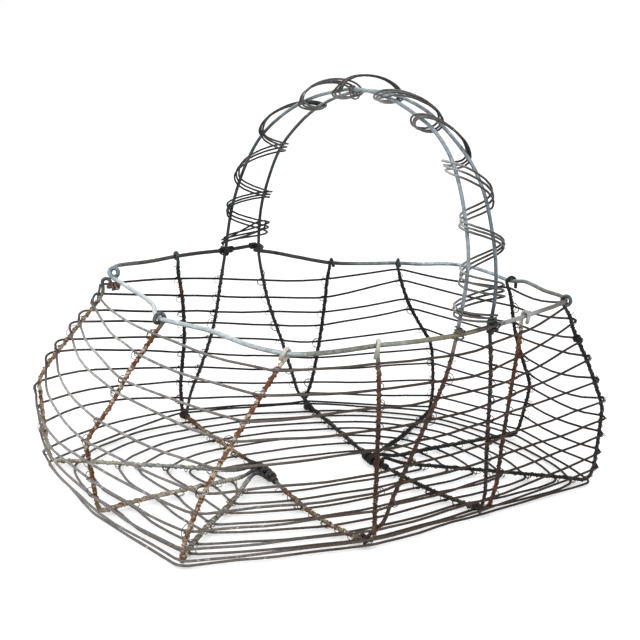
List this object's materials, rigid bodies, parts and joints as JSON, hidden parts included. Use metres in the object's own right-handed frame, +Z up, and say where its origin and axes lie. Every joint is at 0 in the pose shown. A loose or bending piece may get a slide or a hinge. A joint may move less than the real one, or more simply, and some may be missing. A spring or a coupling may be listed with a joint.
{
  "type": "egg collection basket",
  "caption": "Open hand-woven wire basket with a rounded rectangular rim, bellied sides, wire base and a tall arched handle with a bound grip, for carrying eggs.",
  "frame": {"origin": "centre of the base on the plane the basket stands on", "axes": "+Z up; +X along the length of the basket; +Y across it, towards the rear side"},
  "size_m": [0.3042, 0.215, 0.2175],
  "materials": {
    "rim_steel": "old zinc-coated steel wire, dull grey-green with pale highlights",
    "handle_steel": "blue-grey galvanised steel wire, worn bright in places",
    "grip_wire": "dark aged steel wire with a little rust",
    "rib_steel": "dark weathered steel wire with rust and pale zinc bands",
    "course_wire": "dark brown-grey weathered thin steel wire",
    "binding_wire": "fine rusty steel tying wire"
  },
  "bodies": {
    "root": {"binding_leg_front_left": "binding_wire", "binding_leg_front_right": "binding_wire", "binding_leg_rear_left": "binding_wire", "binding_leg_rear_right": "binding_wire", "binding_rib_01": "binding_wire", "binding_rib_02": "binding_wire", "binding_rib_03": "binding_wire", "binding_rib_04": "binding_wire", "binding_rib_05": "binding_wire", "binding_rib_06": "binding_wire", "binding_rib_07": "binding_wire", "binding_rib_08": "binding_wire", "binding_rib_09": "binding_wire", "binding_rib_10": "binding_wire", "corner_ties": "binding_wire", "cross_rib_left": "rib_steel", "cross_rib_right": "rib_steel", "floor_course_01": "course_wire", "floor_course_02": "course_wire", "floor_course_03": "course_wire", "floor_course_04": "course_wire", "floor_course_05": "course_wire", "floor_course_06": "course_wire", "floor_course_07": "course_wire", "floor_course_08": "course_wire", "grip_end_curl": "grip_wire", "grip_strand_a": "grip_wire", "grip_strand_b": "grip_wire", "grip_strand_c": "grip_wire", "handle_wire_left": "handle_steel", "handle_wire_right": "handle_steel", "hub_tie_left": "binding_wire", "hub_tie_right": "binding_wire", "post_knot": "binding_wire", "rib_left_front": "rib_steel", "rib_left_rear": "rib_steel", "rib_left_tip": "rib_steel", "rib_right_front": "rib_steel", "rib_right_rear": "rib_steel", "rib_right_tip": "rib_steel", "rim_lashing_front_left": "grip_wire", "rim_lashing_front_right": "grip_wire", "rim_lashing_rear_left": "grip_wire", "rim_lashing_rear_right": "grip_wire", "rim_wire": "rim_steel", "side_course_01": "course_wire", "side_course_02": "course_wire", "side_course_03": "course_wire", "side_course_04": "course_wire", "side_course_05": "course_wire", "side_course_06": "course_wire", "side_course_07": "course_wire", "side_course_08": "course_wire", "side_course_09": "course_wire", "side_course_10": "course_wire", "weft_end_coil": "binding_wire"}
  },
  "joints": []
}
